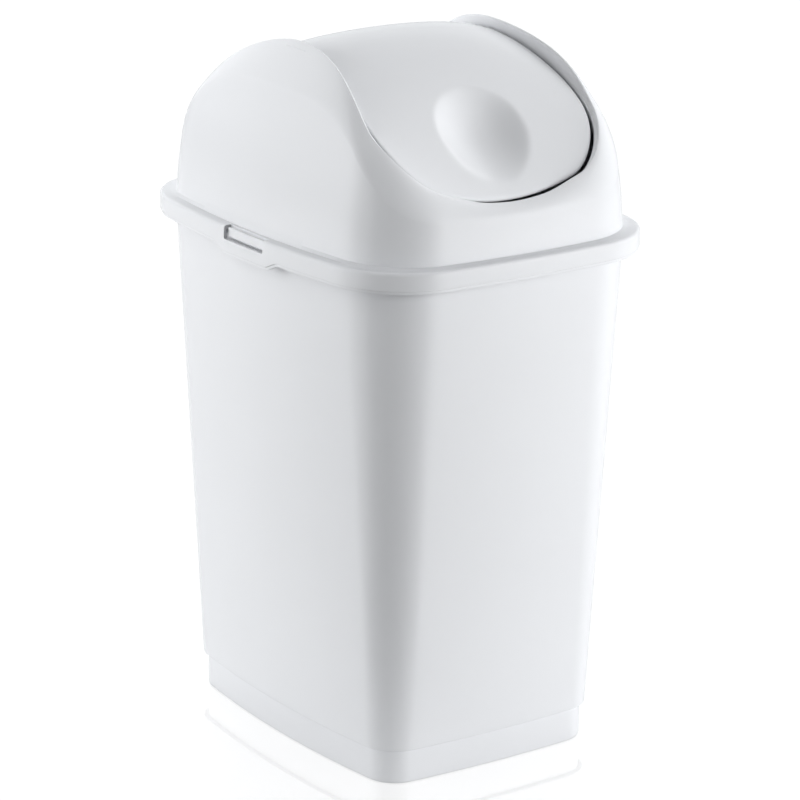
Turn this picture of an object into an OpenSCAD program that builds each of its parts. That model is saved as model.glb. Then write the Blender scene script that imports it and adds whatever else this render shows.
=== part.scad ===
// Countertop trash can with a swing lid: bucket, hood and swinging flap.
// Origin: middle of the underside. +Z is up, the front faces -Y, the flap turns about X.

/* [Bucket] */
// Half width of the foot, along X
foot_half_w = 58; // [52:0.5:60]
// Half depth of the foot, along Y
foot_half_d = 76.4; // [70:0.5:80]
// Corner radius of the foot
foot_corner = 13.9; // [10:0.1:18]
// Height of the inset plinth
plinth_h = 15.3; // [10:0.1:22]
// How far the walls stand out over the plinth
plinth_step = 2.1; // [1:0.1:3]
// Half width of the bucket just under its rim, along X
mouth_half_w = 72.4; // [70:0.1:73]
// Half depth of the bucket just under its rim, along Y
mouth_half_d = 91.2; // [89:0.1:92]
// Corner radius of the bucket just under its rim
mouth_corner = 32.1; // [28:0.1:34]
// Height of the top face of the rim
rim_top = 225.5; // [222:0.1:226]
// Thickness of the outward-turned rim
rim_thick = 1.8; // [1.4:0.1:2.4]
// Thickness of the bucket's walls
bucket_wall = 1.8; // [1.4:0.1:2.6]
// Thickness of the bucket's floor
floor_thick = 2.2; // [1.6:0.1:4]
// Height of the hollow under the floor
foot_recess = 3; // [1:0.5:6]

/* [Collar of the hood] */
// Half width of the collar, along X
collar_half_w = 78.7; // [78:0.1:80]
// Half depth of the collar, along Y
collar_half_d = 97.5; // [97:0.1:99]
// Corner radius of the collar
collar_corner = 36.4; // [33:0.1:38]
// Height of the collar's lower edge
collar_bottom = 218.6; // [216:0.1:219]
// Height of the small set-back bead along the lower edge
bead_h = 1.3; // [0.8:0.1:2]
// How far the bead is set back
bead_inset = 0.6; // [0.3:0.1:0.9]
// Thickness of the ledge on top of the collar
ledge_thick = 1.8; // [1.4:0.1:2.4]
// Thickness of the collar's skirt
skirt_wall = 1.4; // [1.2:0.1:1.8]
// Free space between the rim and the underside of the ledge
seat_gap = 0.3; // [0.2:0.05:0.5]

/* [Latch] */
// Middle of the latch along Y
latch_y = -2.5; // [-6:0.5:6]
// Half length of the window in the collar
window_half = 14.7; // [10:0.1:16]
// Height of the window's sill
window_sill = 221.9; // [221:0.1:223]
// How far the window reaches in from the collar's face
window_depth = 3.6; // [3.4:0.1:4]
// How far the collar dips below its edge at the latch
dip_depth = 3.2; // [1:0.1:5]
// Half length of the dip at its bottom
dip_half = 16.4; // [16:0.1:20]
// Length of each sloped end of the dip
dip_slope = 8; // [4:0.1:12]
// Clearance of the latch lug in its window
lug_gap = 0.8; // [0.5:0.1:1.5]
// Clearance behind the skirt, for the lug and the rim
skirt_gap = 0.3; // [0.2:0.05:0.5]

/* [Walls and ears of the hood] */
// Half width of the hood's wall at the ledge, along X
wall_half_w = 73.1; // [72:0.1:74]
// Half depth of the hood's wall at the ledge, along Y
wall_half_d = 91.9; // [91:0.1:93]
// Corner radius of the hood's wall at the ledge
wall_corner = 34.8; // [32:0.1:36]
// Thickness of the hood
hood_wall = 1.8; // [1.4:0.1:2.2]
// Lean of the wall at its foot, per millimetre of height
wall_lean = 0.040; // [0:0.001:0.06]
// Growth of the lean with height
wall_curl = 0.0023; // [0:0.0001:0.0025]
// Height of the shoulder at the front and back
shoulder_low = 242.0; // [240:0.1:248]
// Height of the shoulder's arch on the long sides
shoulder_high = 287.7; // [284:0.1:294]
// Half length of the arch along Y
arch_half = 96.7; // [92:0.1:100]
// Fullness of the arch
arch_power = 3.4; // [2:0.1:4]

/* [Lip and crests of the hood] */
// Height of the lip over the flap at the front and back
lip_rise = 1.7; // [1:0.1:3]
// How much higher the crests beside the flap start, in the middle
crest_rise = 2.9; // [1:0.1:4]
// Growth of the crests toward the front, over drop_reach
crest_front = 14.1; // [6:0.1:18]
// Growth of the crests toward the back, over drop_reach
crest_back = 5.4; // [2:0.1:16]
// Where the crests end, from the middle, along Y
crest_end = 63.2; // [58:0.1:68]
// How sharply the crests end
crest_power = 4.5; // [3:0.1:7]
// How far the lip is set back from the opening at the front and back
lip_back = 1.2; // [0.8:0.1:2]
// How far the crests lean in over the opening
crest_lean = 0.4; // [0:0.1:0.5]
// Reach of the shoulder's upward sweep, at the ends and beside the crests
sweep_low = 2.3; // [1.5:0.1:4]
sweep_high = 4.0; // [2:0.1:6]
// Reach of the rounding outside the lip, at the ends and beside the crests
lip_round = 3.4; // [2:0.1:5]
crest_round = 3.0; // [2:0.1:5]
// Fall over that rounding, at the ends and beside the crests
lip_fall = 0.6; // [0:0.1:1.5]
crest_fall = 2.0; // [0:0.1:3]
// Radius of the edge along the lip and the crests
edge_round = 0.8; // [0.4:0.1:1.2]

/* [Flap] */
// Half width of the flap near its ends, before the waist
flap_half_w = 55.7; // [54:0.1:57]
// Half depth of the flap, along Y
flap_half_d = 81.4; // [79:0.1:83]
// Corner radius of the flap in plan
flap_corner = 22.6; // [18:0.1:28]
// Height of the flap's crown
crown_z = 304.7; // [302:0.1:306]
// Drop of the crown over drop_reach
flap_drop = 54.2; // [50:0.1:58]
// Distance along Y over which the crown drops by flap_drop
drop_reach = 80; // [76:0.5:86]
// Distance along X over which the crown drops by crown_side
side_reach = 50; // [46:0.5:56]
// Sideways rounding of the crown
crown_side = 3.5; // [1:0.1:6]
// Upward sweep of the corners at the front and back
corner_lift = 11; // [6:0.5:14]
// Extra rounding near the ears
ear_round = 2.7; // [0:0.1:4]
// Depth of the waist beside each ear
waist = 8.9; // [7:0.1:10]
// Half length of the waist along Y
waist_half = 60; // [50:1:65]
// Thickness of the flap
flap_thick = 2; // [1.6:0.1:2.6]
// Gap between the flap and the hood, seen from above
flap_gap = 1.5; // [1.2:0.1:2.5]
// Middle of the thumb dish along Y
dish_y = -61; // [-66:0.5:-56]
// Half width of the thumb dish, along X
dish_half_w = 22; // [16:0.5:26]
// Half depth of the thumb dish in plan, along Y
dish_half_d = 16.8; // [12:0.1:18]
// Depth of the thumb dish
dish_deep = 7; // [3:0.1:9]

/* [Pivot] */
// Height of the flap's turning axis
pivot_z = 290.5; // [289:0.1:291]
// Radius of the stub pins
pin_r = 2.5; // [2:0.1:3]
// Radial clearance of a pin in its bearing hole
pin_fit = 0.05; // [0.01:0.01:0.1]
// Thickness of the bearing plates inside the ears
plate_thick = 2.5; // [2:0.1:3]
// Half width of a bearing plate along Y
plate_half = 7; // [5:0.1:9]
// Thickness of the flap's hanging lugs
hanger_thick = 2.5; // [2:0.1:3]
// Half width of a hanging lug along Y
hanger_half = 5.5; // [4:0.1:7]
// Side play of the flap between the bearing plates, each side
side_play = 0.4; // [0.3:0.1:1]

/* [Fineness] */
// Points along each short side
end_n = 14; // [8:2:24]
// Points round each corner
corner_n = 9; // [6:1:14]

/* [Hidden] */
eps = 0.01;
round_fn = 64;
// bow of the long and short sides, from straight, at the foot and above
foot_bow = [3.8, 1.4];
top_bow = [4, 1.6];
flap_bow = [2.85, 1.4];
skirt_in_w = collar_half_w - skirt_wall;
skirt_in_d = collar_half_d - skirt_wall;
ledge_under = rim_top + seat_gap;
ledge_z = ledge_under + ledge_thick;
rim_low = rim_top - rim_thick;
lug_half = window_half - lug_gap;
lug_low = window_sill + lug_gap;
lug_top = ledge_z - lug_gap;
lug_push = 0.5;
rim_half_w = skirt_in_w - skirt_gap - lug_push;
rim_half_d = skirt_in_d - skirt_gap - lug_push;
rim_corner = mouth_corner + rim_half_w - mouth_half_w;
// how far the lug's back lies in from the rim's edge, clear of the ledge behind the window
lug_back = rim_half_w - (collar_half_w - window_depth) - 0.4;
lug_ramp = 0.4;
// The long sides' points close up at the latch. Between these marks along Y
// they are spread evenly, with the given number of steps.
side_marks = [latch_y - dip_half - dip_slope, latch_y - dip_half, latch_y - lug_half - lug_ramp,
    latch_y - lug_half, latch_y + lug_half, latch_y + lug_half + lug_ramp,
    latch_y + dip_half, latch_y + dip_half + dip_slope];
side_steps = [7, 2, 1, 1, 6, 1, 1, 2, 7];
side_n = len([for (k = side_steps) for (i = [1:k]) i]);

function lerp(a, b, t) = a + (b - a) * t;
function clamp(v, lo, hi) = min(hi, max(lo, v));
function unit(v) = v / norm(v);
function total(n) = 2 * side_n + 2 * end_n + 4 * corner_n;

// Angles of a long side's points on its arc of radius k, from -al to al.
function side_up(al, k) =
    let (m = concat([-al], [for (y = side_marks) asin(y / k)], [al]))
    [for (j = [0:len(side_steps) - 1]) for (i = [0:side_steps[j] - 1])
        lerp(m[j], m[j + 1], i / side_steps[j])];
function side_down(al, k) =
    let (up = side_up(al, k))
    concat([-al], [for (i = [side_n - 1:-1:1]) -up[i]]);
// Angles of the outline's points, the same count for every outline.
function outline_angles(al, be, k) = concat(
    side_up(al, k),
    [for (i = [0:corner_n - 1]) lerp(al, 90 - be, i / corner_n)],
    [for (i = [0:end_n - 1]) lerp(90 - be, 90 + be, i / end_n)],
    [for (i = [0:corner_n - 1]) lerp(90 + be, 180 - al, i / corner_n)],
    [for (f = side_down(al, k)) 180 + f],
    [for (i = [0:corner_n - 1]) lerp(180 + al, 270 - be, i / corner_n)],
    [for (i = [0:end_n - 1]) lerp(270 - be, 270 + be, i / end_n)],
    [for (i = [0:corner_n - 1]) lerp(270 + be, 360 - al, i / corner_n)]
);

// Rounded rectangle with gently bowed sides, as a list of [x, y].
// a, b: half sizes; r: corner radius; bow: height of the bows.
function outline(a, b, r, bow) =
    let (
        p = a - r - bow[0],
        q = b - r - bow[1],
        rad_x = (q * q + bow[0] * bow[0]) / (2 * bow[0]),
        rad_y = (p * p + bow[1] * bow[1]) / (2 * bow[1]),
        al = asin(q / rad_x),
        be = asin(p / rad_y),
        angs = outline_angles(al, be, rad_x + r),
        s1 = side_n,
        s2 = s1 + corner_n,
        s3 = s2 + end_n,
        s4 = s3 + corner_n,
        s5 = s4 + side_n,
        s6 = s5 + corner_n,
        s7 = s6 + end_n
    )
    [for (i = [0:len(angs) - 1])
        let (
            c = i < s1 ? [p + bow[0] - rad_x, 0, rad_x] :
                i < s2 ? [p, q, 0] :
                i < s3 ? [0, q + bow[1] - rad_y, rad_y] :
                i < s4 ? [-p, q, 0] :
                i < s5 ? [-(p + bow[0] - rad_x), 0, rad_x] :
                i < s6 ? [-p, -q, 0] :
                i < s7 ? [0, -(q + bow[1] - rad_y), rad_y] :
                [p, -q, 0],
            k = c[2] + r
        )
        [c[0] + k * cos(angs[i]), c[1] + k * sin(angs[i])]];

function at_height(pts, z) = [for (p = pts) [p[0], p[1], z]];
function widen(pts, d) =
    let (n = len(pts))
    [for (i = [0:n - 1])
        let (t = pts[(i + 1) % n] - pts[(i + n - 1) % n], m = unit([t[1], -t[0]]))
        pts[i] + d * m];

// Closed solid from a list of rings with equal counts; ring 0 joins the last.
module ring_loop(rings) {
    n = len(rings[0]);
    m = len(rings);
    pts = [for (r = rings) each r];
    faces = [for (j = [0:m - 1]) for (i = [0:n - 1])
        let (
            a = j * n + i,
            b = j * n + (i + 1) % n,
            c = ((j + 1) % m) * n + (i + 1) % n,
            d = ((j + 1) % m) * n + i
        )
        each [[a, c, b], [a, d, c]]];
    polyhedron(points = pts, faces = faces, convexity = 10);
}

// Closed solid from rings, with both ends closed by a fan to a middle point.
module ring_stack(rings, first_mid, last_mid) {
    n = len(rings[0]);
    m = len(rings);
    pts = concat([for (r = rings) each r], [first_mid, last_mid]);
    sides = [for (j = [0:m - 2]) for (i = [0:n - 1])
        let (
            a = j * n + i,
            b = j * n + (i + 1) % n,
            c = (j + 1) * n + (i + 1) % n,
            d = (j + 1) * n + i
        )
        each [[a, c, b], [a, d, c]]];
    caps = [for (i = [0:n - 1])
        each [
            [m * n, i, (i + 1) % n],
            [m * n + 1, (m - 1) * n + (i + 1) % n, (m - 1) * n + i]
        ]];
    polyhedron(points = pts, faces = concat(sides, caps), convexity = 10);
}

// Bucket wall outline at height z, drawn in by d.
function bucket_ring(z, d) =
    let (t = clamp((z - plinth_h) / (rim_low - 4 - plinth_h), 0, 1))
    outline(
        lerp(foot_half_w + plinth_step, mouth_half_w, t) - d,
        lerp(foot_half_d + plinth_step, mouth_half_d, t) - d,
        lerp(foot_corner + plinth_step, mouth_corner, t) - d,
        lerp(foot_bow, top_bow, t)
    );
function foot_ring(d) =
    outline(foot_half_w - d, foot_half_d - d, foot_corner - d, foot_bow);
function on_latch(p) = abs(p[0]) > foot_half_w && abs(p[1] - latch_y) < lug_half + 0.1;
// Rim outline drawn in by d, at height z, or at lug_z and pushed out by push at a lug.
function rim_ring(d, z, lug_z, push) = [
    for (p = outline(rim_half_w - d, rim_half_d - d, rim_corner - d, top_bow))
        on_latch(p) ? [p[0] + sign(p[0]) * push, p[1], lug_z] : [p[0], p[1], z]
];

module bucket() {
    floor_z = foot_recess + floor_thick;
    levels = [0.25, 0.5, 0.75];
    wall_top = rim_low - 4;
    rings = concat(
        [
            at_height(foot_ring(5), foot_recess),
            at_height(foot_ring(3.4), 0),
            at_height(foot_ring(0.6), 0),
            at_height(foot_ring(0), 0.7),
            at_height(foot_ring(0), plinth_h - 0.2),
            at_height(bucket_ring(plinth_h, 0.4), plinth_h),
            at_height(bucket_ring(plinth_h, 0), plinth_h + 0.6)
        ],
        [for (t = levels) let (z = lerp(plinth_h, wall_top, t)) at_height(bucket_ring(z, 0), z)],
        [
            at_height(bucket_ring(wall_top, 0), wall_top),
            at_height(bucket_ring(wall_top, 0), lug_low - 0.3),
            rim_ring(1.2, rim_low, lug_low, 0),
            rim_ring(0, rim_low + 0.2, lug_low + 0.2, lug_push),
            rim_ring(0, rim_top - 0.3, lug_top - 0.3, lug_push),
            rim_ring(0.3, rim_top, lug_top, lug_push),
            rim_ring(lug_back - 0.1, rim_top, lug_top, 0),
            rim_ring(lug_back, rim_top, rim_top, 0),
            rim_ring(lug_back + 0.7, rim_top, rim_top, 0),
            at_height(bucket_ring(wall_top, bucket_wall), rim_top),
            at_height(bucket_ring(wall_top, bucket_wall), wall_top)
        ],
        [for (t = [0.75, 0.5, 0.25])
            let (z = lerp(plinth_h, wall_top, t)) at_height(bucket_ring(z, bucket_wall), z)],
        [
            at_height(bucket_ring(plinth_h, bucket_wall), plinth_h + 2),
            at_height(foot_ring(bucket_wall), plinth_h - 1),
            at_height(foot_ring(bucket_wall), floor_z + 3),
            at_height(foot_ring(bucket_wall + 1), floor_z + 0.8),
            at_height(foot_ring(bucket_wall + 3), floor_z)
        ]
    );
    color("whitesmoke") ring_stack(rings, [0, 0, foot_recess], [0, 0, floor_z]);
}

// Height of the flap's outer face, before the thumb dish.
function panel_z(x, y) =
    let (u = pow(y / drop_reach, 2), v = pow(x / side_reach, 2))
    crown_z - flap_drop * u - (crown_side - corner_lift * u) * v
    - ear_round * v * v * pow(max(0, 1 - u), 2);
// Outline of the flap in plan, widened by d, with its waist.
function flap_outline(d) = [
    for (p = outline(flap_half_w + d, flap_half_d + d, flap_corner, flap_bow))
        let (k = pow(max(0, 1 - p[1] * p[1] / (waist_half * waist_half)), 2))
        [p[0] * (1 - waist / flap_half_w * k), p[1]]
];
function panel_normal(x, y) =
    let (h = 0.5)
    unit([
        panel_z(x - h, y) - panel_z(x + h, y),
        panel_z(x, y - h) - panel_z(x, y + h),
        2 * h
    ]);
function dish(x, y) =
    let (k = pow(x / dish_half_w, 2) + pow((y - dish_y) / dish_half_d, 2))
    k < 1 ? dish_deep * (1 - k) * (1 - k) : 0;
// Flap surface at fraction s of its outline, sunk by d below the outer face.
function panel_ring(s, d) = [
    for (p = flap_outline(0))
        let (x = p[0] * s, y = p[1] * s)
        [x, y, panel_z(x, y)] - (d + dish(x, y)) * panel_normal(x, y)
];
function panel_mid(d) = [0, 0, crown_z - d];

flap_edge_x = flap_half_w - waist;
plate_in = flap_edge_x + flap_gap + 0.3;
plate_out = plate_in + plate_thick;
hanger_out = flap_edge_x - 0.4;

module flap() {
    steps = [0.08, 0.22, 0.36, 0.48, 0.58, 0.67, 0.75, 0.82, 0.88, 0.93, 0.965];
    last = len(steps) - 1;
    under = [for (s = steps) panel_ring(s, flap_thick)];
    over = [for (k = [0:last]) panel_ring(steps[last - k], 0)];
    edge = [
        panel_ring(0.99, flap_thick),
        panel_ring(1, flap_thick * 0.7),
        panel_ring(1, flap_thick * 0.3),
        panel_ring(0.99, 0)
    ];
    color("whitesmoke") union() {
        ring_stack(concat(under, edge, over), panel_mid(flap_thick), panel_mid(0));
        for (side = [-1, 1]) hanger(side);
    }
}

// Lug under the flap's edge, with its shoulder and stub pin, on one side.
module hanger(side) {
    top = panel_z(flap_edge_x, hanger_half) - flap_thick * 0.5;
    rotate([0, 90 * side, 0]) translate([-pivot_z * side, 0, 0]) {
        translate([0, 0, hanger_out - hanger_thick])
            cylinder(r = hanger_half, h = hanger_thick, $fn = round_fn);
        translate([0, 0, hanger_out - 1])
            cylinder(r = pin_r + 1.2, h = plate_in - side_play - hanger_out + 1, $fn = round_fn);
        translate([0, 0, hanger_out - 1])
            cylinder(r = pin_r, h = plate_out + 0.8 - hanger_out + 1, $fn = round_fn);
    }
    x0 = side > 0 ? hanger_out - hanger_thick : -hanger_out;
    translate([x0, -hanger_half, pivot_z]) cube([hanger_thick, 2 * hanger_half, top - pivot_z]);
}

// Height of the hood's shoulder, an arch along the long sides.
function shoulder_z(y) =
    lerp(shoulder_low, shoulder_high, pow(1 - pow(min(1, abs(y) / arch_half), arch_power), 2));
function arch_part(y) = (shoulder_z(y) - shoulder_low) / (shoulder_high - shoulder_low);
function wall_inset(h) = wall_lean * h + wall_curl * h * h;
function wall_point(p, n, s) =
    let (h = (shoulder_z(p[1]) - ledge_z) * s, q = p - n * wall_inset(h))
    [q[0], q[1], ledge_z + h];
function bezier(a, b, c, d, t) =
    a * pow(1 - t, 3) + b * 3 * t * pow(1 - t, 2) + c * 3 * t * t * (1 - t) + d * pow(t, 3);
// How far a point at y belongs to the crests: 1 in the middle, 0 past their ends.
function crest_part(y) = pow(1 - pow(min(1, abs(y) / crest_end), crest_power), 2);
function crest_height(y) =
    let (grow = y < 0 ? crest_front : crest_back)
    lip_rise + (crest_rise + grow * pow(y / drop_reach, 2)) * crest_part(y);
// Point by the lip's edge q, out by d and up by h from the flap's surface; m points outward.
function lip_point(q, m, d, h) =
    let (lip_z = panel_z(q[0], q[1]) + lip_lift, out = lerp(lip_back, -crest_lean, crest_part(q[1])))
    [q[0] + m[0] * (out + d), q[1] + m[1] * (out + d), lip_z + h];
// Point at part t of the way over the shoulder, from the wall to the lip's top.
function ear_point(p, n, q, m, t) =
    let (
        k = pow(arch_part(p[1]), 0.15),
        a = wall_point(p, n, 1),
        lean = wall_lean + 2 * wall_curl * (a[2] - ledge_z),
        b = a + lerp(sweep_low, sweep_high, k) * [-n[0] * lean, -n[1] * lean, 1],
        h = crest_height(q[1]),
        c = lip_point(q, m, edge_round + lerp(lip_round, crest_round, k), h - lerp(lip_fall, crest_fall, k)),
        e = lip_point(q, m, edge_round, h)
    )
    bezier(a, b, c, e, t);
function normals(pts) =
    let (n = len(pts))
    [for (i = [0:n - 1])
        let (t = pts[(i + 1) % n] - pts[(i + n - 1) % n]) unit([t[1], -t[0]])];

wall_foot = outline(wall_half_w, wall_half_d, wall_corner, top_bow);
wall_out = normals(wall_foot);
lip_line = flap_outline(flap_gap);
lip_lift = 0.3;
lip_out = normals(lip_line);
wall_steps = [0.02, 0.3, 0.6, 0.85, 0.98];
ear_steps = [0.05, 0.14, 0.25, 0.37, 0.5, 0.63, 0.76, 0.88, 1];
shell_rows = len(wall_steps) + 7;
hood_rows = concat(
    [for (s = wall_steps)
        [for (i = [0:total() - 1]) wall_point(wall_foot[i], wall_out[i], s)]],
    [for (t = ear_steps)
        [for (i = [0:total() - 1])
            ear_point(wall_foot[i], wall_out[i], lip_line[i], lip_out[i], t)]]
);
function hood_normal(j, i) =
    let (
        n = total(),
        rows = len(hood_rows),
        along = hood_rows[j][(i + 1) % n] - hood_rows[j][(i + n - 1) % n],
        up = hood_rows[min(j + 1, rows - 1)][i] - hood_rows[max(j - 1, 0)][i]
    )
    unit(cross(along, up));
function hood_inner(j) = [
    for (i = [0:total() - 1]) hood_rows[j][i] - hood_wall * hood_normal(j, i)
];
// Rows from the lip's top down its inner face and under its lower edge.
lip_rows = [
    [for (i = [0:total() - 1])
        lip_point(lip_line[i], lip_out[i], edge_round * 0.3, crest_height(lip_line[i][1]) - edge_round * 0.3)],
    [for (i = [0:total() - 1])
        lip_point(lip_line[i], lip_out[i], 0, crest_height(lip_line[i][1]) - edge_round)],
    [for (i = [0:total() - 1])
        let (q = lip_line[i]) [q[0], q[1], panel_z(q[0], q[1]) + lip_lift]],
    [for (i = [0:total() - 1])
        let (q = lip_line[i], m = lip_out[i])
        [q[0] + m[0] * hood_wall, q[1] + m[1] * hood_wall, panel_z(q[0], q[1]) + lip_lift]]
];

function collar_ring(d, z) =
    at_height(outline(collar_half_w - d, collar_half_d - d, collar_corner - d, top_bow), z);
function dip(p) =
    abs(p[0]) > foot_half_w
        ? dip_depth * clamp((dip_half + dip_slope - abs(p[1] - latch_y)) / dip_slope, 0, 1)
        : 0;
function dipped(pts) = [for (p = pts) [p[0], p[1], p[2] - dip(p)]];

module hood() {
    rings = concat(
        [
            dipped(collar_ring(bead_inset, collar_bottom)),
            dipped(collar_ring(bead_inset, collar_bottom + bead_h - 0.1)),
            dipped(collar_ring(0, collar_bottom + bead_h + 0.1)),
            collar_ring(0, ledge_z - 1.5),
            collar_ring(0.35, ledge_z - 0.6),
            collar_ring(1.2, ledge_z - 0.15),
            collar_ring(4.6, ledge_z)
        ],
        hood_rows,
        lip_rows,
        [for (j = [shell_rows - 1:-1:0]) hood_inner(j)],
        [
            at_height(outline(wall_half_w - hood_wall, wall_half_d - hood_wall,
                wall_corner - hood_wall, top_bow), ledge_under),
            collar_ring(skirt_wall, ledge_under),
            dipped(collar_ring(skirt_wall, collar_bottom))
        ]
    );
    color("whitesmoke") difference() {
        union() {
            ring_loop(rings);
            for (side = [-1, 1]) bearing_plate(side);
        }
        for (side = [-1, 1]) {
            latch_window(side);
            bearing_hole(side);
        }
    }
}

// Plate inside one ear that carries a stub pin.
module bearing_plate(side) {
    top = panel_z(flap_edge_x, 0) + 2.2;
    rotate([0, 90 * side, 0]) translate([-pivot_z * side, 0, plate_in])
        cylinder(r = plate_half, h = plate_thick, $fn = round_fn);
    x0 = side > 0 ? plate_in : -plate_out;
    translate([x0, -plate_half, pivot_z]) cube([plate_thick, 2 * plate_half, top - pivot_z]);
}

module bearing_hole(side) {
    rotate([0, 90 * side, 0]) translate([-pivot_z * side, 0, plate_in - 1])
        cylinder(r = pin_r + pin_fit, h = plate_thick + 2, $fn = round_fn);
}

module latch_window(side) {
    x0 = side > 0 ? collar_half_w - window_depth : -collar_half_w - 1;
    translate([x0, latch_y - window_half, window_sill])
        cube([window_depth + 1, 2 * window_half, ledge_z - window_sill + 2]);
}

bucket();
hood();
flap();
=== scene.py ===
import math
import bpy
import bmesh
import numpy as np
from mathutils import Matrix, Vector


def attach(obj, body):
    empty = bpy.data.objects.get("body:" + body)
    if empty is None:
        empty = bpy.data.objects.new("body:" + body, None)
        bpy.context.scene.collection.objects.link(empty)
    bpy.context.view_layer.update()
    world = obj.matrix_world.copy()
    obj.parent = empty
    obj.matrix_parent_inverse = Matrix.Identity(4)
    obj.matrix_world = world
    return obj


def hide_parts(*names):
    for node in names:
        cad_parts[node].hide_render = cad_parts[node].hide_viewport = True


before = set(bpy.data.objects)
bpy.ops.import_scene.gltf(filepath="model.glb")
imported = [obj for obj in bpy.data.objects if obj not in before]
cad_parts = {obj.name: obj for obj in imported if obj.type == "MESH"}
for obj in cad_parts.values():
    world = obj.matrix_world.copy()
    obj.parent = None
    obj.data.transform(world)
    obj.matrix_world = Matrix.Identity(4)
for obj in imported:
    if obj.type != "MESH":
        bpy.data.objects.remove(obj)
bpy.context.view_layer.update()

MM = 0.001

# ---------------------------------------------------------------- sizes, mm
# A triple is the half width, half depth and corner radius of a bowed rectangle,
# and its bow is how far its long and its short sides rise over a straight line.
FOOT = (58.0, 76.4, 13.9)
FOOT_BOW = (3.8, 1.4)
TOP_BOW = (4.0, 1.6)
FLAP_BOW = (2.85, 1.4)
PLINTH_H = 15.3
PLINTH_STEP = 2.1
MOUTH = (72.4, 91.2, 32.1)
RIM_TOP = 225.5
RIM_LOW = 223.7
RIM_GAP = 0.8
MOUTH_Z = RIM_LOW - 4
WALL = 1.8
FLOOR_Z = 5.2
RECESS = 3.0
COLLAR = (78.7, 97.5, 36.4)
COLLAR_BOTTOM = 218.6
BEAD_H = 1.3
BEAD_IN = 0.6
LEDGE_Z = 227.6
LEDGE_FREE = 0.3
SKIRT_WALL = 1.4
LATCH_Y = -2.5
WINDOW_HALF = 14.7
WINDOW_SILL = 221.9
WINDOW_ROUND = 0.9
WINDOW_DEPTH = 3.6
DIP_DEPTH = 3.2
DIP_HALF = 16.4
DIP_SLOPE = 8.0
LUG_HALF = 13.9
LUG_LOW = 222.7
LUG_TOP = 226.8
LUG_BACK = 1.0
LUG_PUSH = 0.5
HOOD_FOOT = (73.1, 91.9, 34.8)
HOOD_WALL = 1.8
WALL_LEAN = 0.040
WALL_CURL = 0.0023
SHOULDER_LOW = 242.0
SHOULDER_HIGH = 287.7
ARCH_HALF = 96.7
ARCH_POWER = 3.4
SHOULDER_BLEND = 0.15
LIP_LIFT = 0.3
LIP_DEEP = 2.0
LIP_DEEPER = 2.5
DEEPER_FROM = 24.0
DEEPER_OVER = 16.0
LIP_RISE = 1.7
CREST_RISE = 2.9
CREST_FRONT = 14.1
CREST_BACK = 5.4
CREST_END = 63.2
CREST_POWER = 4.5
LIP_BACK = 1.2
CREST_LEAN = 0.4
# A pair from here to FALL holds the value at the shoulder's low end and at its top.
SWEEP = (2.3, 4.0)
ROUND = (3.4, 3.0)
FALL = (0.6, 2.0)
EDGE_ROUND = 0.8
WALL_STEPS = (0.025, 0.08, 0.15, 0.25, 0.35, 0.45, 0.55, 0.65, 0.74, 0.82, 0.89, 0.94, 0.97, 0.985)
SWEEP_STEPS = (0.01, 0.025, 0.05, 0.08, 0.12, 0.16, 0.21, 0.26, 0.31, 0.37, 0.43, 0.49, 0.55,
               0.61, 0.67, 0.73, 0.79, 0.84, 0.89, 0.93, 0.965)
FLAP = (55.7, 81.4, 22.6)
CROWN_Z = 304.7
FLAP_DROP = 54.2
DROP_REACH = 80.0
SIDE_REACH = 50.0
CROWN_SIDE = 3.5
CORNER_LIFT = 11.0
EAR_ROUND = 2.7
WAIST = 8.9
WAIST_HALF = 60.0
FLAP_THICK = 2.0
# The hood's opening stands off the flap by FLAP_GAP at its ends and by SIDE_GAP beside it.
FLAP_GAP = 1.5
SIDE_GAP = 0.9
SIDE_FROM = 14.0
SIDE_OVER = 18.0
GRID_END = 0.985
EDGE_SHARE = 0.015
DISH_Y = -61.0
DISH_HALF = (22.0, 16.8)
DISH_DEPTH = 7.0
DISH_RIM = 0.35
PIVOT_Z = 290.5
PIN_R = 2.5
PIN_FIT = 0.05
PIN_BOSS = 1.2
PLATE_THICK = 2.5
PLATE_HALF = 7.0
HANGER_THICK = 2.5
HANGER_HALF = 5.5
FLAP_EDGE_X = FLAP[0] - WAIST
PLATE_IN = FLAP_EDGE_X + FLAP_GAP + 0.3
PLATE_OUT = PLATE_IN + PLATE_THICK
HANGER_OUT = FLAP_EDGE_X - 0.4

# ---------------------------------------------------------------- outlines
# A long side's points stand close together where the latch's dip and lug begin and end.
LATCH_MARKS = [DIP_HALF + DIP_SLOPE + 1.5, DIP_HALF + DIP_SLOPE - 1.5, DIP_HALF + 1.5,
               DIP_HALF - 1.5, LUG_HALF + 0.4, LUG_HALF]
SIDE_MARKS = [LATCH_Y - m for m in LATCH_MARKS] + [LATCH_Y + m for m in LATCH_MARKS[::-1]]
SIDE_STEPS = [22, 4, 3, 4, 1, 3, 14, 3, 1, 4, 3, 4, 22]
END_N = 44
CORNER_N = 22
SHARP = 32  # degrees; a sharper edge isn't shaded smoothly


def side_up(al, k):
    """Angles of a long side's points, close together at the latch."""
    m = [-al] + [math.asin(y / k) for y in SIDE_MARKS] + [al]
    out = []
    for j in range(len(SIDE_STEPS)):
        n = SIDE_STEPS[j]
        out += [m[j] + (m[j + 1] - m[j]) * i / n for i in range(n)]
    return np.array(out)


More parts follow.
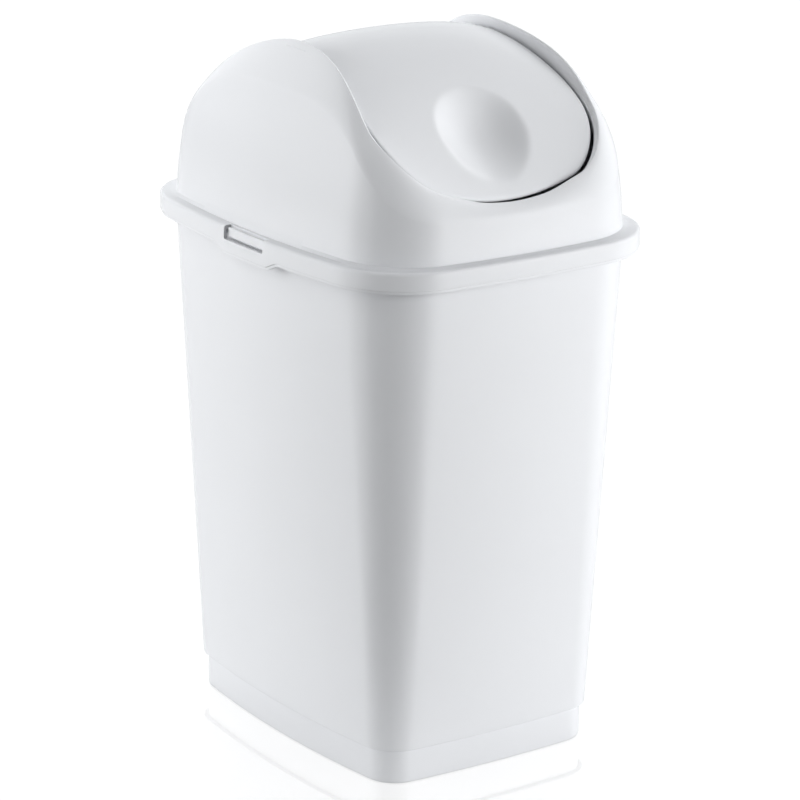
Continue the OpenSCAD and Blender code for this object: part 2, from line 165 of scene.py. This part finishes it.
def outline(size, bow):
    """Bowed rounded rectangle, anticlockwise from the start of the +X side."""
    a, b, r = size
    p, q = a - r - bow[0], b - r - bow[1]
    rx = (q * q + bow[0] ** 2) / (2 * bow[0])
    ry = (p * p + bow[1] ** 2) / (2 * bow[1])
    al, be, h = math.asin(q / rx), math.asin(p / ry), math.pi / 2
    up = side_up(al, rx + r)
    down = np.r_[-al, -up[:0:-1]]
    c = np.arange(CORNER_N) / CORNER_N
    e = np.arange(END_N) / END_N
    parts = [
        (p + bow[0] - rx, 0, rx, up),
        (p, q, 0, al + (h - be - al) * c),
        (0, q + bow[1] - ry, ry, h - be + 2 * be * e),
        (-p, q, 0, h + be + (h - al - be) * c),
        (-(p + bow[0] - rx), 0, rx, 2 * h + down),
        (-p, -q, 0, 2 * h + al + (h - be - al) * c),
        (0, -(q + bow[1] - ry), ry, 3 * h - be + 2 * be * e),
        (p, -q, 0, 3 * h + be + (h - al - be) * c)]
    return np.vstack([np.c_[cx + (k + r) * np.cos(f), cy + (k + r) * np.sin(f)]
                      for cx, cy, k, f in parts])


def inset(size, d):
    return (size[0] - d, size[1] - d, size[2] - d)


def lerp(a, b, t):
    return tuple(x + (y - x) * t for x, y in zip(a, b))


def ring(size, bow, z):
    o = outline(size, bow)
    return np.c_[o, np.full(len(o), float(z))]


def normals2(o):
    """Outward unit normals of a closed outline."""
    t = np.roll(o, -1, 0) - np.roll(o, 1, 0)
    n = np.c_[t[:, 1], -t[:, 0]]
    return n / np.linalg.norm(n, axis=1)[:, None]


def rounded(points, steps):
    """Turns a list of (x, z, radius) corners into a polyline with round corners."""
    out = []
    for i, (x, z, r) in enumerate(points):
        if r <= 0 or i in (0, len(points) - 1):
            out.append((x, z))
            continue
        p = np.array((x, z))
        a = np.array(points[i - 1][:2]) - p
        b = np.array(points[i + 1][:2]) - p
        la, lb = np.linalg.norm(a), np.linalg.norm(b)
        ang = math.acos(max(-1, min(1, float(a @ b) / (la * lb))))
        d = min(r / math.tan(ang / 2), 0.49 * la, 0.49 * lb)
        p0, p1 = p + a / la * d, p + b / lb * d
        for k in range(steps + 1):
            t = k / steps
            out.append(tuple((1 - t) ** 2 * p0 + 2 * t * (1 - t) * p + t * t * p1))
    return out


# ---------------------------------------------------------------- meshes
def place(name, data):
    ob = bpy.data.objects.new(name, data)
    bpy.context.collection.objects.link(ob)
    return ob


def make(name, verts, faces):
    """Mesh object from points in mm."""
    me = bpy.data.meshes.new(name)
    me.from_pydata([tuple(v) for v in np.asarray(verts) * MM], [], faces)
    me.validate()
    me.update()
    return place(name, me)


def loop_faces(m, n, closed=False, start=0):
    """Quads between m rings of n points each."""
    out = []
    for j in range(m if closed else m - 1):
        k = (j + 1) % m
        for i in range(n):
            i2 = (i + 1) % n
            out.append(tuple(start + q for q in (j * n + i, j * n + i2, k * n + i2, k * n + i)))
    return out


def smooth(ob):
    """Smooth shading that breaks at the sharp edges."""
    me = ob.data
    bm = bmesh.new()
    bm.from_mesh(me)
    bmesh.ops.recalc_face_normals(bm, faces=bm.faces)
    for f in bm.faces:
        f.smooth = True
    lim = math.radians(SHARP)
    for e in bm.edges:
        e.smooth = not (len(e.link_faces) == 2 and e.calc_face_angle(0) > lim)
    bm.to_mesh(me)
    bm.free()
    me.update()


def stack(rings, first, last):
    """Rings closed at both ends by a fan round the points first and last."""
    n, m = len(rings[0]), len(rings)
    v = np.vstack(list(rings) + [np.array([first]), np.array([last])])
    f = loop_faces(m, n)
    f += [(m * n, (i + 1) % n, i) for i in range(n)]
    f += [(m * n + 1, (m - 1) * n + i, (m - 1) * n + (i + 1) % n) for i in range(n)]
    return v, f


# ---------------------------------------------------------------- bucket
def bucket_size(z, d=0.0):
    """Size and bow of the tapered wall at a height, inset by d."""
    t = min(1, max(0, (z - PLINTH_H) / (MOUTH_Z - PLINTH_H)))
    return inset(lerp(inset(FOOT, -PLINTH_STEP), MOUTH, t), d), lerp(FOOT_BOW, TOP_BOW, t)


def build_bucket():
    """Rings from the recess under the foot, up the outside, over the rim and down the inside."""
    rings = []

    def foot(d, z):
        rings.append(ring(inset(FOOT, d), FOOT_BOW, z))

    def wall(z, d=0.0):
        size, bow = bucket_size(z, d)
        rings.append(ring(size, bow, z))

    for d, z in ((30, RECESS), (6, RECESS)):
        foot(d, z)
    for x, z in rounded([(5.0, RECESS, 0), (4.2, RECESS, 0.6), (3.4, 0.0, 0.4), (2.0, 0.0, 0),
                         (0.0, 0.0, 1.2), (0.0, 4.0, 0)], 4):
        foot(x, z)
    for z in (8.0, PLINTH_H - 1.5):
        foot(0.0, z)
    for x, z in rounded([(0.0, PLINTH_H - 0.9, 0), (0.0, PLINTH_H - 0.05, 0.25),
                         (-1.0, PLINTH_H, 0)], 3):
        foot(x, z)
    for x, z in rounded([(1.0, PLINTH_H, 0), (0.0, PLINTH_H, 0.9), (0.0, PLINTH_H + 2.2, 0)], 5):
        wall(z, x)
    for z in np.linspace(PLINTH_H + 4, MOUTH_Z, 40):
        wall(z)
    side = COLLAR[0] - SKIRT_WALL - RIM_GAP
    rim = (side, COLLAR[1] - SKIRT_WALL - RIM_GAP, MOUTH[2] + side - MOUTH[0])

    def rim_ring(d, z, lug_z, push=0.0):
        """Ring of the rim, whose points at a latch lug have a height and a push of their own."""
        o = outline(inset(rim, d), TOP_BOW)
        on = (np.abs(o[:, 0]) > FOOT[0]) & (np.abs(o[:, 1] - LATCH_Y) < LUG_HALF + 0.1)
        x = o[:, 0] + np.where(on, np.sign(o[:, 0]) * push, 0)
        rings.append(np.c_[x, o[:, 1], np.where(on, lug_z, z)])

    rings.append(ring(MOUTH, TOP_BOW, LUG_LOW - 0.3))
    rim_ring(1.2, RIM_LOW, LUG_LOW)
    for x, z in rounded([(1.1, 0.0, 0), (0.0, 0.0, 0.35), (0.0, 1.0, 0.5), (0.45, 1.0, 0)], 4):
        rim_ring(x, RIM_LOW + z * (RIM_TOP - RIM_LOW), LUG_LOW + z * (LUG_TOP - LUG_LOW), LUG_PUSH)
    rim_ring(LUG_BACK - 0.1, RIM_TOP, LUG_TOP)
    rim_ring(LUG_BACK, RIM_TOP, RIM_TOP)
    rim_ring(LUG_BACK + 0.7, RIM_TOP, RIM_TOP)
    for x, z in rounded([(WALL - 1.5, RIM_TOP, 0), (WALL, RIM_TOP, 0.7), (WALL, RIM_TOP - 3, 0)], 4):
        rings.append(ring(inset(MOUTH, x), TOP_BOW, z))
    for z in np.linspace(RIM_LOW - 6, PLINTH_H + 6, 16):
        wall(z, WALL)
    wall(PLINTH_H + 2, WALL)
    for x, z in rounded([(WALL, PLINTH_H - 1, 0), (WALL, FLOOR_Z, 4.0),
                         (WALL + 12, FLOOR_Z, 0)], 6):
        foot(x, z)
    foot(40, FLOOR_Z)
    v, f = stack(rings, (0, 0, RECESS), (0, 0, FLOOR_Z))
    return make("bucket_shell", v, f)


# ---------------------------------------------------------------- flap
def panel_z(x, y):
    """Height of the panel's upper face without its dish."""
    u, v = y * y / DROP_REACH ** 2, x * x / SIDE_REACH ** 2
    return (CROWN_Z - FLAP_DROP * u - (CROWN_SIDE - CORNER_LIFT * u) * v
            - EAR_ROUND * v * v * np.clip(1 - u, 0, 1) ** 2)


def flap_outline(d):
    """The flap's plan, grown by d, with its waist beside the ears."""
    o = outline((FLAP[0] + d, FLAP[1] + d, FLAP[2]), FLAP_BOW)
    k = np.clip(1 - o[:, 1] ** 2 / WAIST_HALF ** 2, 0, 1) ** 2
    o[:, 0] *= 1 - WAIST / FLAP[0] * k
    return o


def panel_normal(x, y, h=0.5):
    n = np.c_[panel_z(x - h, y) - panel_z(x + h, y), panel_z(x, y - h) - panel_z(x, y + h),
              np.full(len(x), 2 * h)]
    return n / np.linalg.norm(n, axis=1)[:, None]


def dish(x, y):
    """Depth of the thumb dish; a smaller DISH_RIM makes its rim steeper."""
    k = (x / DISH_HALF[0]) ** 2 + ((y - DISH_Y) / DISH_HALF[1]) ** 2
    g = np.clip(1 - k, 0, 1)
    return DISH_DEPTH * g * g * (1 + DISH_RIM) / (g + DISH_RIM)


def panel_points(x, y, d):
    return np.c_[x, y, panel_z(x, y)] - (d + dish(x, y))[:, None] * panel_normal(x, y)


def build_flap():
    """The panel is a fine grid inside its outline, then a rolled edge and two hangers."""
    o = flap_outline(0.0)

    def grid(s, d):
        return panel_points(o[:, 0] * s, o[:, 1] * s, d)

    steps = np.linspace(0.012, 1, 84) * GRID_END
    edge = []
    for k in range(1, 8):
        a = math.pi * k / 8
        edge.append(grid(GRID_END + EDGE_SHARE * math.sin(a), FLAP_THICK * (0.5 + 0.5 * math.cos(a))))
    rings = [grid(s, FLAP_THICK) for s in steps] + edge + [grid(s, 0.0) for s in steps[::-1]]
    v, f = stack(rings, (0, 0, CROWN_Z - FLAP_THICK), (0, 0, CROWN_Z))
    parts_v, parts_f = [v], list(f)
    base = len(v)
    top = float(panel_z(FLAP_EDGE_X, HANGER_HALF)) - FLAP_THICK * 0.5
    for side in (-1, 1):
        for vv, ff in hanger(side, top):
            parts_f += [tuple(i + base for i in q) for q in ff]
            parts_v.append(vv)
            base += len(vv)
    return make("swing_flap", np.vstack(parts_v), parts_f)


def turned(profile, side, seg=64):
    """Solid of revolution about the pivot axis; profile is a list of (x, r)."""
    a = np.arange(seg) * 2 * math.pi / seg
    v = [np.c_[np.full(seg, side * x), r * np.cos(a), PIVOT_Z + r * np.sin(a)] for x, r in profile]
    m = len(profile)
    f = loop_faces(m, seg)
    f += [tuple(range(seg))[::-1], tuple((m - 1) * seg + i for i in range(seg))]
    return np.vstack(v), f


def slab(outline2, x0, x1, hole=0.0):
    """Plate across X from an outline in Y and Z, with or without a round hole at the pivot."""
    n = len(outline2)
    o = np.array(outline2)
    rings = []
    if hole > 0:
        a = np.arctan2(o[:, 1] - PIVOT_Z, o[:, 0])
        c = np.c_[hole * np.cos(a), PIVOT_Z + hole * np.sin(a)]
        for x, q in ((x0, o), (x1, o), (x1, c), (x0, c)):
            rings.append(np.c_[np.full(n, x), q])
        return np.vstack(rings), loop_faces(4, n, closed=True)
    rings = [np.c_[np.full(n, x), o] for x in (x0, x1)]
    f = loop_faces(2, n) + [tuple(range(n))[::-1], tuple(n + i for i in range(n))]
    return np.vstack(rings), f


def tongue(half, top, seg=28):
    """Outline in Y and Z: a straight plate that ends in a half circle round the pivot."""
    rise = top - PIVOT_Z
    pts = [(half * math.cos(t), PIVOT_Z + half * math.sin(t)) for t in np.linspace(-math.pi, 0, seg)]
    pts += [(half, PIVOT_Z + rise * k / 4) for k in range(1, 5)]
    pts += [(half - 2 * half * k / 8, top) for k in range(1, 9)]
    pts += [(-half, PIVOT_Z + rise * k / 4) for k in range(3, 0, -1)]
    return pts


def hanger(side, top):
    """Hanging plate and its stub pin, which has a boss at the root and a chamfered tip."""
    plate = slab(tongue(HANGER_HALF, top), side * (HANGER_OUT - HANGER_THICK), side * HANGER_OUT)
    pin = turned([(HANGER_OUT - 0.5, PIN_R + PIN_BOSS), (PLATE_IN - 0.55, PIN_R + PIN_BOSS),
                  (PLATE_IN - 0.4, PIN_R + 1.05), (PLATE_IN - 0.4, PIN_R),
                  (PLATE_OUT + 0.4, PIN_R), (PLATE_OUT + 0.8, PIN_R - 0.4)], side)
    return [plate, pin]


# ---------------------------------------------------------------- hood
def arch(y, half, power):
    """1 over the pivot, falling to 0 at half."""
    return (1 - np.clip(np.abs(y) / half, 0, 1) ** power) ** 2


def shoulder_z(y):
    return SHOULDER_LOW + (SHOULDER_HIGH - SHOULDER_LOW) * arch(y, ARCH_HALF, ARCH_POWER)


def hood_rows():
    """Rows over the shoulder to the lip's top, then rows down the lip's inner face."""
    foot = outline(HOOD_FOOT, TOP_BOW)
    nf = normals2(foot)
    wide = flap_outline(FLAP_GAP)
    near = np.clip((np.abs(wide[:, 0]) - SIDE_FROM) / SIDE_OVER, 0, 1)[:, None]
    near = near * near * (3 - 2 * near)
    lip = wide + (flap_outline(SIDE_GAP) - wide) * near
    nl = normals2(lip)
    zs = shoulder_z(foot[:, 1])
    lz = panel_z(lip[:, 0], lip[:, 1]) + LIP_LIFT
    part = arch(lip[:, 1], CREST_END, CREST_POWER)
    out = LIP_BACK - (CREST_LEAN + LIP_BACK) * part
    grow = np.where(lip[:, 1] < 0, CREST_FRONT, CREST_BACK)
    high = LIP_RISE + (CREST_RISE + grow * lip[:, 1] ** 2 / DROP_REACH ** 2) * part

    def wall_row(s):
        h = (zs - LEDGE_Z) * s
        q = foot - nf * (WALL_LEAN * h + WALL_CURL * h * h)[:, None]
        return np.c_[q, LEDGE_Z + h]

    def lip_row(d, h):
        return np.c_[lip + nl * (out + d)[:, None], lz + h]

    k = ((zs - SHOULDER_LOW) / (SHOULDER_HIGH - SHOULDER_LOW)) ** SHOULDER_BLEND
    lean = WALL_LEAN + 2 * WALL_CURL * (zs - LEDGE_Z)
    a = wall_row(1.0)
    b = a + (SWEEP[0] + (SWEEP[1] - SWEEP[0]) * k)[:, None] * np.c_[-nf * lean[:, None], np.ones(len(nf))]
    c = lip_row(EDGE_ROUND + ROUND[0] + (ROUND[1] - ROUND[0]) * k,
                high - FALL[0] - (FALL[1] - FALL[0]) * k)
    e = lip_row(EDGE_ROUND, high)
    rows = [wall_row(s) for s in WALL_STEPS]
    for t in SWEEP_STEPS:
        rows.append(a * (1 - t) ** 3 + b * 3 * t * (1 - t) ** 2 + c * 3 * t * t * (1 - t) + e * t ** 3)
    inner_from = len(rows) - 5
    rows.append(e)
    for f in (20, 40, 60, 80):
        w = math.radians(f)
        rows.append(lip_row(EDGE_ROUND * (1 - math.sin(w)), high - EDGE_ROUND * (1 - math.cos(w))))
    brow = lip_row(0, high - EDGE_ROUND)
    rows.append(brow)
    for f in (0.66, 0.33, 0.0):
        rows.append(np.c_[lip, lz] * (1 - f) + brow * f)
    deep = LIP_DEEP + LIP_DEEPER * np.clip((np.abs(lip[:, 1]) - DEEPER_FROM) / DEEPER_OVER, 0, 1)
    rows.append(np.c_[lip, lz - deep + 0.3])
    rows.append(np.c_[lip + nl * 0.3, lz - deep])
    rows.append(np.c_[lip + nl * HOOD_WALL, lz - deep])
    return rows, inner_from


def row_normals(rows, j):
    up = rows[min(j + 1, len(rows) - 1)] - rows[max(j - 1, 0)]
    along = np.roll(rows[j], -1, 0) - np.roll(rows[j], 1, 0)
    n = np.cross(along, up)
    return n / np.linalg.norm(n, axis=1)[:, None]


def build_hood():
    """Rings from the skirt's foot over the collar and shoulder to the lip, and back inside."""
    rings = []

    def collar(d, z, dipped=False):
        r = ring(inset(COLLAR, d), TOP_BOW, z)
        if dipped:
            k = np.clip((DIP_HALF + DIP_SLOPE - np.abs(r[:, 1] - LATCH_Y)) / DIP_SLOPE, 0, 1)
            k = k * k * (3 - 2 * k) * 0.35 + k * 0.65
            r[:, 2] -= np.where(np.abs(r[:, 0]) > 60, DIP_DEPTH * k, 0)
        rings.append(r)

    low = COLLAR_BOTTOM
    under = RIM_TOP + LEDGE_FREE
    for x, z in rounded([(SKIRT_WALL, low, 0), (BEAD_IN, low, 0.3), (BEAD_IN, low + BEAD_H, 0.2),
                         (0.0, low + BEAD_H + 0.15, 0.25), (0.0, low + 3.0, 0)], 3):
        collar(x, z, True)
    collar(0.0, WINDOW_SILL + 0.2)
    for x, z in rounded([(0.0, WINDOW_SILL + 2, 0), (0.0, LEDGE_Z, 1.9), (3.4, LEDGE_Z, 0)], 8):
        collar(x, z)
    rows, inner_from = hood_rows()
    collar(4.9, LEDGE_Z + 0.08)
    rings += rows
    inner = [rows[j] - HOOD_WALL * row_normals(rows, j) for j in range(inner_from)]
    rings += inner[::-1]
    rings.append(ring(inset(HOOD_FOOT, HOOD_WALL), TOP_BOW, under))
    rings.append(ring(inset(COLLAR, SKIRT_WALL), TOP_BOW, under))
    collar(SKIRT_WALL, COLLAR_BOTTOM + 3)
    n, m = len(rings[0]), len(rings)
    v, f = np.vstack(rings), loop_faces(m, n, closed=True)
    ob = make("hood_shell", v, f)
    cutter = window_cutter()
    mod = ob.modifiers.new("window", "BOOLEAN")
    mod.operation = "DIFFERENCE"
    mod.solver = "EXACT"
    mod.object = cutter
    dg = bpy.context.evaluated_depsgraph_get()
    me = bpy.data.meshes.new_from_object(ob.evaluated_get(dg))
    ob.modifiers.clear()
    ob.data = me
    bpy.data.objects.remove(cutter)
    add_plates(ob)
    return ob


def window_cutter():
    """Two round-cornered blocks, one through each long side of the collar."""
    vs, fs = [], []
    half = (LEDGE_Z + 2 - WINDOW_SILL) / 2
    box = rounded_box(WINDOW_HALF, half, WINDOW_ROUND)
    n = len(box)
    for side in (-1, 1):
        base = len(vs)
        for x in (COLLAR[0] - WINDOW_DEPTH, COLLAR[0] + 1):
            vs += [(side * x, LATCH_Y + y, WINDOW_SILL + half + z) for y, z in box]
        fs += loop_faces(2, n, start=base)
        fs += [tuple(range(base, base + n))[::-1], tuple(range(base + n, base + 2 * n))]
    ob = make("cutter", vs, fs)
    smooth(ob)
    return ob


def rounded_box(a, b, r, seg=6):
    """Rectangle of half sizes a and b with corners of radius r."""
    pts = []
    p, q = a - r, b - r
    for cx, cy, s in ((p, q, 0), (-p, q, 1), (-p, -q, 2), (p, -q, 3)):
        for k in range(seg + 1):
            t = (s + k / seg) * math.pi / 2
            pts.append((cx + r * math.cos(t), cy + r * math.sin(t)))
    return pts


def add_plates(ob):
    """Bearing plates inside the ears, each with a hole for a stub pin."""
    bm = bmesh.new()
    bm.from_mesh(ob.data)
    top = float(panel_z(FLAP_EDGE_X, 0)) + 2.2
    for side in (-1, 1):
        v, f = slab(tongue(PLATE_HALF, top), side * PLATE_IN, side * PLATE_OUT, hole=PIN_R + PIN_FIT)
        bv = [bm.verts.new(tuple(p * MM)) for p in v]
        for q in f:
            bm.faces.new([bv[i] for i in q])
    bm.to_mesh(ob.data)
    bm.free()


# ---------------------------------------------------------------- shader nodes
def new_tree(holder):
    holder.use_nodes = True
    holder.node_tree.nodes.clear()
    return holder.node_tree


def node(nt, kind, inputs=(), **settings):
    """Adds a shader node. Inputs are (name or index, value) pairs; a socket as value is linked."""
    n = nt.nodes.new("ShaderNode" + kind)
    for key, value in settings.items():
        setattr(n, key, value)
    for key, value in inputs:
        if isinstance(value, bpy.types.NodeSocket):
            nt.links.new(value, n.inputs[key])
        else:
            n.inputs[key].default_value = value
    return n


def level(nt, factor, low, high):
    """Runs evenly from low to high as the factor goes from 0 to 1."""
    return node(nt, "MapRange", [("Value", factor), ("To Min", low), ("To Max", high)]).outputs["Result"]


def span(nt, value, start, end, low, high):
    """Runs smoothly from low to high as the value goes from start to end."""
    n = node(nt, "MapRange", [("Value", value), ("From Min", start), ("From Max", end),
                              ("To Min", low), ("To Max", high)], interpolation_type="SMOOTHSTEP")
    return n.outputs["Result"]


def sector(nt, vector, azimuth, inner, outer):
    """0 within inner degrees of an azimuth round the object, 1 past outer."""
    a = math.radians(azimuth)
    flat = node(nt, "VectorMath", [(0, vector), (1, (1, 1, 0))], operation="MULTIPLY")
    unit = node(nt, "VectorMath", [(0, flat.outputs[0])], operation="NORMALIZE")
    dot = node(nt, "VectorMath", [(0, unit.outputs[0]), (1, (math.sin(a), -math.cos(a), 0))],
               operation="DOT_PRODUCT")
    ends = [math.cos(math.radians(v)) for v in (inner, outer)]
    return span(nt, dot.outputs["Value"], *ends, 0.0, 1.0)


def for_camera(nt, output, others, camera):
    """Shows the camera one shader and every other ray another."""
    seen = node(nt, "LightPath").outputs["Is Camera Ray"]
    pick = node(nt, "MixShader", [(0, seen), (1, others.outputs[0]), (2, camera.outputs[0])])
    node(nt, output, [("Surface", pick.outputs[0])])


# ---------------------------------------------------------------- materials
WHITE = (0.80, 0.81, 0.83)
TONE_LOW = 0.985
TONE_STOPS = (0.3, 0.7)
TONE_SCALE = 9.0
GLOSS_SCALE = 26.0
GLOSS_SPREAD = (0.88, 1.15)
RIPPLE = (14.0, 0.12, 0.0006)
GRAIN = (1400.0, 0.06, 0.00004)
PLASTIC_IOR = 1.5


def plastic(name, colour, rough, seed):
    """Glossy moulded plastic: faint tone drift, uneven gloss, a soft mould ripple and grain."""
    m = bpy.data.materials.new(name)
    nt = new_tree(m)
    where = node(nt, "Mapping", [("Vector", node(nt, "TexCoord").outputs["Object"]),
                                 ("Location", (seed, seed * 2.3, seed * 0.7))])

    def noise(scale, detail):
        return node(nt, "TexNoise", [("Scale", scale), ("Detail", detail),
                                     ("Vector", where.outputs["Vector"])]).outputs["Fac"]

    def bump(scale, strength, distance, detail, *under):
        return node(nt, "Bump", [("Strength", strength), ("Distance", distance),
                                 ("Height", noise(scale, detail)), *under]).outputs["Normal"]

    tone = node(nt, "ValToRGB", [("Fac", noise(TONE_SCALE, 2.0))])
    for stop, at, share in zip(tone.color_ramp.elements, TONE_STOPS, (TONE_LOW, 1)):
        stop.position = at
        stop.color = (*[c * share for c in colour], 1)
    gloss = level(nt, noise(GLOSS_SCALE, 3.0), rough * GLOSS_SPREAD[0], rough * GLOSS_SPREAD[1])
    ripple = bump(*RIPPLE, 1.0)
    grain = bump(*GRAIN, 2.0, ("Normal", ripple))
    skin = node(nt, "BsdfPrincipled", [("Base Color", tone.outputs["Color"]), ("Roughness", gloss),
                                       ("IOR", PLASTIC_IOR), ("Normal", grain)])
    node(nt, "OutputMaterial", [("Surface", skin.outputs["BSDF"])])
    return m


def dress(ob, mat, body, replaced):
    ob.data.materials.clear()
    ob.data.materials.append(mat)
    smooth(ob)
    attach(ob, body)
    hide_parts(replaced)


bucket = build_bucket()
hood = build_hood()
flap = build_flap()
dress(bucket, plastic("bucket_white", WHITE, 0.20, 1.0), "bin", "bucket")
dress(hood, plastic("hood_white", WHITE, 0.20, 2.0), "lid", "hood")
dress(flap, plastic("flap_white", WHITE, 0.22, 3.0), "swing", "flap")

# ---------------------------------------------------------------- stage, metres and degrees
# Azimuth 0 is in front, -90 on the left. DARK and BACK are an azimuth with the
# half widths at which the sector's edge begins and ends.
DARK = (-40.0, 35.0, 47.0)
BACK = (145.0, 25.0, 75.0)
FLOOR_HALF = 6.0
# The floor's colour for every ray but the camera's: painted shade in the DARK sector, its pale colour
# elsewhere, fading back to pale between the NEAR_FOOT distances from the middle.
FLOOR_PAINTED_SHADE = 0.12
FLOOR_LIGHT = 0.80
FLOOR_BASE = 0.06
FLOOR_ROUGH = 0.06
FLOOR_GLOW = 1.01
MIRROR = 0.32
NEAR_FOOT = (0.12, 0.22)
WORLD_DARK = 0.0
WORLD_LIGHT = 0.76
WORLD_BACK = 1.0
WORLD_TINT = (0.96, 0.98, 1, 1)
ZENITH_FROM = 0.4
ZENITH_FULL = 0.85
ZENITH_LEVEL = 0.28
LAMP_AIM = (0, 0, 0.16)
LAMP_DISTANCE = 1.9
LAMP_WIDTH = 1.0
LAMPS = (  # name, azimuth, elevation, height, watts
    ("softbox_left", -120, 9, 0.9, 14),
    ("softbox_side", -90, 9, 0.9, 4),
    ("softbox_high", -118, 42, 0.9, 5.5),
    ("softbox_right", 50, 10, 0.9, 6.5),
    ("softbox_front", 29, 9, 0.9, 20.5),
    ("softbox_behind", 152, 62, 1.0, 11))
CAMERA_TURN = (-34.69, 17.41, 0.63)  # azimuth, elevation, roll
CAMERA_AIM = (0, 0, 0.14134)
CAMERA_DISTANCE = 1.6114
SENSOR = 36
PHOTO = 800  # the photograph's side; focus and shift are in its pixels
FOCUS = 3739.73
SHIFT = (5.88, 0.63)


def compass(azimuth, elevation):
    a, e = math.radians(azimuth), math.radians(elevation)
    return Vector((math.sin(a) * math.cos(e), -math.cos(a) * math.cos(e), math.sin(e)))


def grey(value):
    return (value, value, value, 1)


def build_floor():
    """A pale mirror for the camera. For every other ray it is matt, with painted shade on the camera's
    side away from the foot, so less light bounces from there.
    """
    me = bpy.data.meshes.new("floor")
    s = FLOOR_HALF
    me.from_pydata([(-s, -s, 0), (s, -s, 0), (s, s, 0), (-s, s, 0)], [], [(0, 1, 2, 3)])
    m = bpy.data.materials.new("floor_white")
    nt = new_tree(m)
    spot = node(nt, "TexCoord").outputs["Object"]
    reach = node(nt, "VectorMath", [(0, spot)], operation="LENGTH").outputs["Value"]
    # Painted shade on the floor for bounce rays: dark in the camera's sector, pale near the foot.
    near = span(nt, reach, *NEAR_FOOT, 1.0, 0.0)
    unshaded = node(nt, "Math", [(0, near), (1, sector(nt, spot, *DARK))], operation="MAXIMUM")
    plain = node(nt, "BsdfDiffuse", [("Color", level(nt, unshaded.outputs[0], FLOOR_PAINTED_SHADE, FLOOR_LIGHT))])
    glow = node(nt, "Emission", [("Color", grey(1)), ("Strength", FLOOR_GLOW - MIRROR * WORLD_BACK)])
    gloss = node(nt, "BsdfGlossy", [("Color", grey(MIRROR)), ("Roughness", FLOOR_ROUGH)])
    base = node(nt, "BsdfDiffuse", [("Color", grey(FLOOR_BASE))])
    shine = node(nt, "AddShader", [(0, glow.outputs[0]), (1, gloss.outputs[0])])
    shown = node(nt, "AddShader", [(0, shine.outputs[0]), (1, base.outputs[0])])
    for_camera(nt, "OutputMaterial", plain, shown)
    me.materials.append(m)
    place("floor", me)


def build_world():
    """Dark towards the camera's side, dimmer overhead, bright behind and white for the camera."""
    w = bpy.data.worlds.new("studio")
    bpy.context.scene.world = w
    nt = new_tree(w)
    view = node(nt, "TexCoord").outputs["Generated"]
    up = node(nt, "SeparateXYZ", [(0, view)]).outputs["Z"]
    over = span(nt, up, ZENITH_FROM, ZENITH_FULL, 1.0, ZENITH_LEVEL)
    front = level(nt, sector(nt, view, *DARK), WORLD_DARK, WORLD_LIGHT)
    back = level(nt, sector(nt, view, *BACK), WORLD_BACK / WORLD_LIGHT, 1.0)
    around = node(nt, "Math", [(0, front), (1, back)], operation="MULTIPLY")
    glow = node(nt, "Math", [(0, around.outputs[0]), (1, over)], operation="MULTIPLY")
    soft = node(nt, "Background", [("Color", WORLD_TINT), ("Strength", glow.outputs[0])])
    white = node(nt, "Background", [("Color", grey(1)), ("Strength", 1.0)])
    for_camera(nt, "OutputWorld", soft, white)


def lamp(name, azimuth, elevation, height, power):
    """Softbox that faces the object and stays out of reflections."""
    d = compass(azimuth, elevation)
    li = bpy.data.lights.new(name, "AREA")
    li.shape = "RECTANGLE"
    li.size = LAMP_WIDTH
    li.size_y = height
    li.energy = power
    ob = place(name, li)
    ob.location = Vector(LAMP_AIM) + d * LAMP_DISTANCE
    ob.rotation_euler = d.to_track_quat("Z", "Y").to_euler()
    ob.visible_glossy = False


def build_camera():
    azimuth, elevation, roll = CAMERA_TURN
    az, roll = math.radians(azimuth), math.radians(roll)
    back = compass(azimuth, elevation)
    right = Vector((math.cos(az), math.sin(az), 0))
    up = back.cross(right)
    r2 = right * math.cos(roll) + up * math.sin(roll)
    u2 = up * math.cos(roll) - right * math.sin(roll)
    cam = bpy.data.cameras.new("camera")
    cam.sensor_width = SENSOR
    cam.lens = FOCUS * SENSOR / PHOTO
    cam.shift_x = SHIFT[0] / PHOTO
    cam.shift_y = SHIFT[1] / PHOTO
    ob = place("camera", cam)
    m = Matrix((r2, u2, back)).transposed().to_4x4()
    m.translation = Vector(CAMERA_AIM) + back * CAMERA_DISTANCE
    ob.matrix_world = m
    bpy.context.scene.camera = ob


build_floor()
build_world()
for row in LAMPS:
    lamp(*row)
build_camera()

bpy.context.scene.view_settings.view_transform = "Standard"
